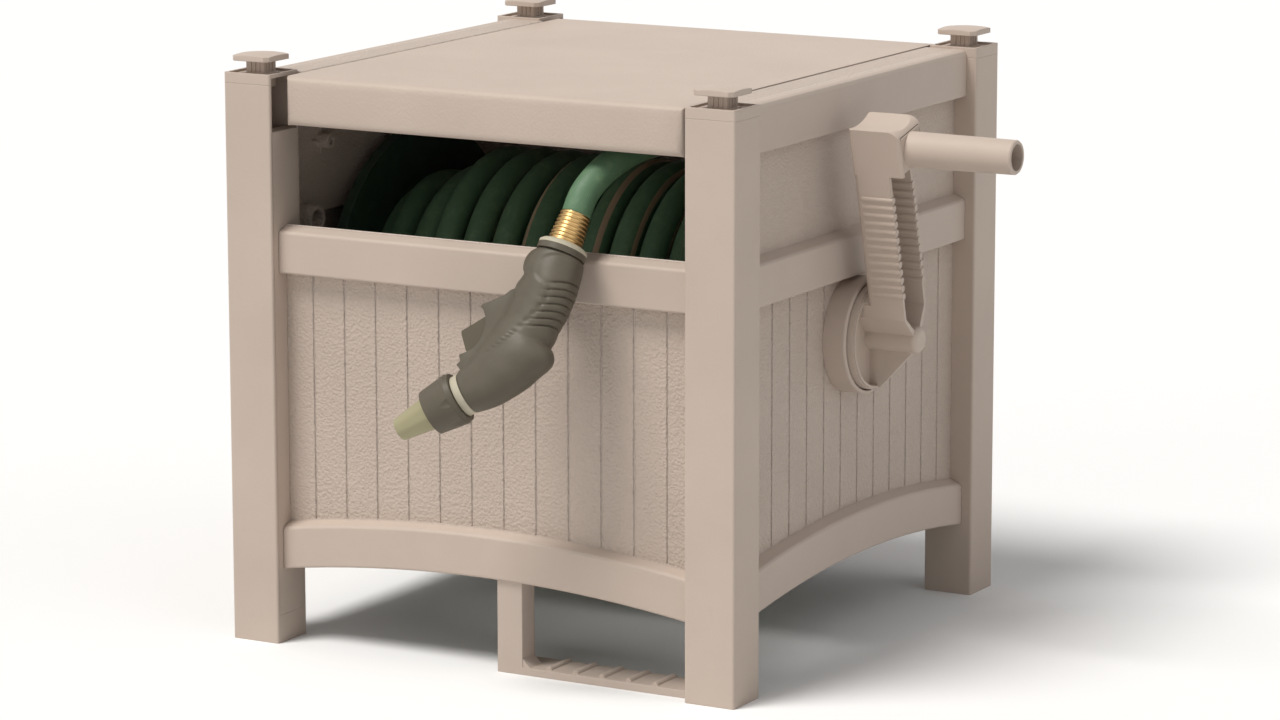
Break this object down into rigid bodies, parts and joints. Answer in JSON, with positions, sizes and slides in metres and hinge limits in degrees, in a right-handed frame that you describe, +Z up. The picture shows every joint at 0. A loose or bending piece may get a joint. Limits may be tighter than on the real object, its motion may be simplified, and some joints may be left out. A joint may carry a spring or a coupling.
{
  "type": "hose reel box",
  "caption": "Resin garden hose reel box with plank-look walls, a hinged lid, a hand-cranked reel of hose with a folding handle, a foot brace and a trigger nozzle over the front rail.",
  "frame": {"origin": "on the floor, under the middle of the whole, crank and inlet included", "axes": "+X to the right with the crank on that side, +Y to the rear, +Z up, the front faces -Y"},
  "size_m": [0.6758, 0.6174, 0.5282],
  "materials": {
    "resin_light": "fine pebbled taupe moulding",
    "resin_side": "fine pebbled taupe moulding",
    "steel": "plated",
    "brass": "satin",
    "rubber_black": "matt",
    "reel_green": "satin moulding",
    "hose_green": "ribbed vinyl hose",
    "nozzle_cream": "satin moulding",
    "nozzle_grey": "satin moulding",
    "trigger_dark": "satin moulding"
  },
  "bodies": {
    "box": {"post_front_left": "resin_light", "post_front_right": "resin_light", "post_rear_left": "resin_light", "post_rear_right": "resin_light", "post_covers": "resin_light", "post_caps": "resin_light", "finials": "resin_light", "front_panel": "resin_light", "right_panel": "resin_side", "left_panel": "resin_side", "rear_panel": "resin_side", "foot_brace": "resin_side", "hinge_blocks": "resin_side", "hinge_pins": "steel", "crank_bearing": "resin_side", "crank_bearing_screws": "steel", "inlet_bearing": "resin_side", "inlet_bearing_screws": "steel", "water_inlet": "brass", "o_rings": "rubber_black", "hose_run": "hose_green", "hose_ferrule": "brass", "hose_nut": "nozzle_cream", "nozzle_body": "nozzle_grey", "trigger_pin": "steel", "nozzle_barrel": "nozzle_cream", "nozzle_tip": "nozzle_cream"},
    "lid": {"lid": "resin_light"},
    "reel": {"flange_left": "reel_green", "flange_right": "reel_green", "drum": "reel_green", "drum_screws": "steel", "water_axle": "brass", "hose_pack": "hose_green", "hose_winding": "hose_green", "crank_arm": "resin_light", "crank_screw": "steel", "pivot_pin": "steel"},
    "handle": {"handle": "resin_light"},
    "trigger": {"nozzle_trigger": "trigger_dark"},
    "collar": {"nozzle_collar": "nozzle_grey"}
  },
  "joints": [
    {"name": "lid_hinge", "type": "hinge", "parent": "box", "child": "lid", "pos_m": [-0.07595, 0.232, 0.5], "axis": [-1, 0, 0], "range_deg": [0, 100]},
    {"name": "reel_spin", "type": "hinge", "parent": "box", "child": "reel", "pos_m": [-0.07595, 0, 0.281], "axis": [-1, 0, 0], "continuous": true, "deforming": ["hose_run"]},
    {"name": "handle_fold", "type": "hinge", "parent": "reel", "child": "handle", "pos_m": [0.21045, -0.04379, 0.45662], "axis": [0, 0.9703, 0.2419], "range_deg": [0, 90]},
    {"name": "trigger_press", "type": "hinge", "parent": "box", "child": "trigger", "pos_m": [-0.03445, -0.31569, 0.29681], "axis": [0, 0.866, -0.5], "range_deg": [0, 9], "stiffness_Nm_per_rad": 0.8, "springref_deg": -8.59},
    {"name": "collar_twist", "type": "hinge", "parent": "box", "child": "collar", "pos_m": [-0.03495, -0.33294, 0.26693], "axis": [-0.8192, -0.2868, -0.4967], "range_deg": [0, 270]}
  ]
}
